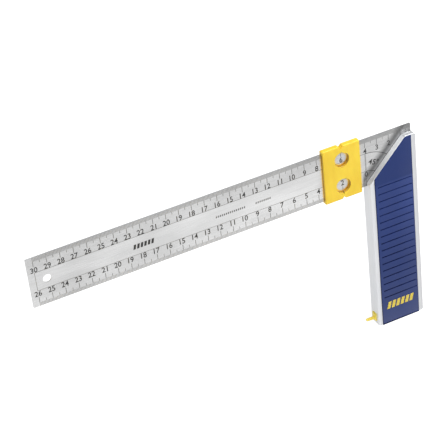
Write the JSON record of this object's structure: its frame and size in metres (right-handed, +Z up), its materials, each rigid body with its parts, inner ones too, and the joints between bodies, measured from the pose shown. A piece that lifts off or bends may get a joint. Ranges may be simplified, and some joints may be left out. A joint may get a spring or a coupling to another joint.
{
  "type": "try and mitre square",
  "caption": "Carpenter's square: graduated steel blade fixed in a stock with a 45 degree end, with a sliding marking gauge and a pull-out support foot.",
  "frame": {"origin": "inner corner, where the stock's inner face meets the blade's inner edge, in the blade's middle plane", "axes": "+X from the inner corner into the stock (the blade runs to -X), +Y to the back, +Z up the stock towards the blade's outer edge"},
  "size_m": [0.305, 0.0114, 0.1694],
  "materials": {
    "stock_aluminium": "satin anodised",
    "blade_steel": "brushed, etched scale",
    "rivet_steel": "ground flush",
    "grip_plastic": "fine moulded texture",
    "slider_plastic": "semi-gloss moulded",
    "spring_steel": "bright spring strip",
    "foot_plastic": "semi-gloss moulded",
    "pin_steel": "ground"
  },
  "bodies": {
    "square": {"stock": "stock_aluminium", "blade": "blade_steel", "blade_rivets": "rivet_steel", "front_grip": "grip_plastic", "rear_grip": "grip_plastic", "foot_pin": "pin_steel", "foot_spring": "spring_steel"},
    "slider": {"slider": "slider_plastic", "slider_spring": "spring_steel"},
    "foot": {"foot": "foot_plastic"}
  },
  "joints": [
    {"name": "slider_slide", "type": "slide", "parent": "square", "child": "slider", "axis": [-1, 0, 0], "range_m": [-0.0048, 0.2291]},
    {"name": "foot_slide", "type": "slide", "parent": "square", "child": "foot", "axis": [1, 0, 0], "range_m": [0, 0.0078]}
  ]
}
